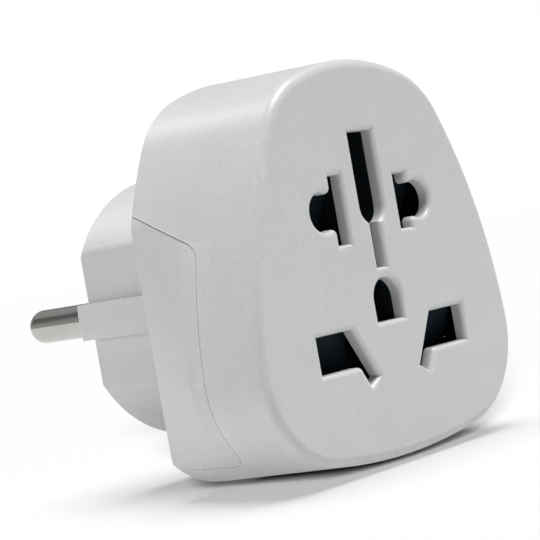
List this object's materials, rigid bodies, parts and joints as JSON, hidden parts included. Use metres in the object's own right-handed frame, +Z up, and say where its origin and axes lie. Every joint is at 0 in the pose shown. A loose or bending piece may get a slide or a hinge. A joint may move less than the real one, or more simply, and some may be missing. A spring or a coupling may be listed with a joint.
{
  "type": "universal travel adapter",
  "caption": "Travel adapter with a rounded multi-standard socket face, sprung safety shutters and a round two-pin plug with side earth clips.",
  "frame": {"origin": "on the level of the housing's lowest point, midway between the socket face and the pin tips, on the middle plane", "axes": "+Y from the socket face towards the pin tips, +Z up towards the tall earth slot, +X to the right seen from the socket side"},
  "size_m": [0.0514, 0.058, 0.0526],
  "materials": {
    "white_plastic": "satin, very fine spark texture",
    "black_plastic": "satin",
    "spring_steel": "drawn wire",
    "nickel_plate": "nickel-plated brass, polished",
    "zinc_steel": "zinc-plated",
    "brass": "stamped, bare",
    "phosphor_bronze": "stamped spring bronze"
  },
  "bodies": {
    "adapter": {"front_housing": "white_plastic", "rear_housing": "white_plastic", "contact_carrier": "black_plastic", "upper_spring_left": "spring_steel", "upper_spring_right": "spring_steel", "lower_spring_left": "spring_steel", "lower_spring_right": "spring_steel", "live_pin": "nickel_plate", "neutral_pin": "nickel_plate", "earth_clip_top": "nickel_plate", "earth_clip_bottom": "nickel_plate", "housing_screw_top": "zinc_steel", "housing_screw_left": "zinc_steel", "housing_screw_right": "zinc_steel", "live_strip": "brass", "neutral_strip": "brass", "earth_strip": "brass", "live_upper_rivet": "brass", "live_lower_rivet": "brass", "neutral_upper_rivet": "brass", "neutral_lower_rivet": "brass", "uk_earth_rivet": "brass", "au_earth_rivet": "brass", "us_earth_rivet": "brass", "clip_rivet_top": "brass", "clip_rivet_bottom": "brass", "live_upper_contact": "phosphor_bronze", "live_lower_contact": "phosphor_bronze", "neutral_upper_contact": "phosphor_bronze", "neutral_lower_contact": "phosphor_bronze", "uk_earth_contact": "phosphor_bronze", "au_earth_contact": "phosphor_bronze", "us_earth_contact": "phosphor_bronze"},
    "upper_left": {"upper_shutter_left": "black_plastic"},
    "upper_right": {"upper_shutter_right": "black_plastic"},
    "lower": {"lower_shutter": "black_plastic"}
  },
  "joints": [
    {"name": "upper_left_slide", "type": "slide", "parent": "adapter", "child": "upper_left", "axis": [0, 0, 1], "range_m": [0, 0.0099], "stiffness_N_per_m": 120, "springref_m": -0.003, "deforming": ["upper_spring_left"]},
    {"name": "upper_right_slide", "type": "slide", "parent": "adapter", "child": "upper_right", "axis": [0, 0, 1], "range_m": [0, 0.0099], "stiffness_N_per_m": 120, "springref_m": -0.003, "deforming": ["upper_spring_right"]},
    {"name": "lower_slide", "type": "slide", "parent": "adapter", "child": "lower", "axis": [0, 0, 1], "range_m": [0, 0.0087], "stiffness_N_per_m": 200, "springref_m": -0.003, "deforming": ["lower_spring_left", "lower_spring_right"]}
  ]
}
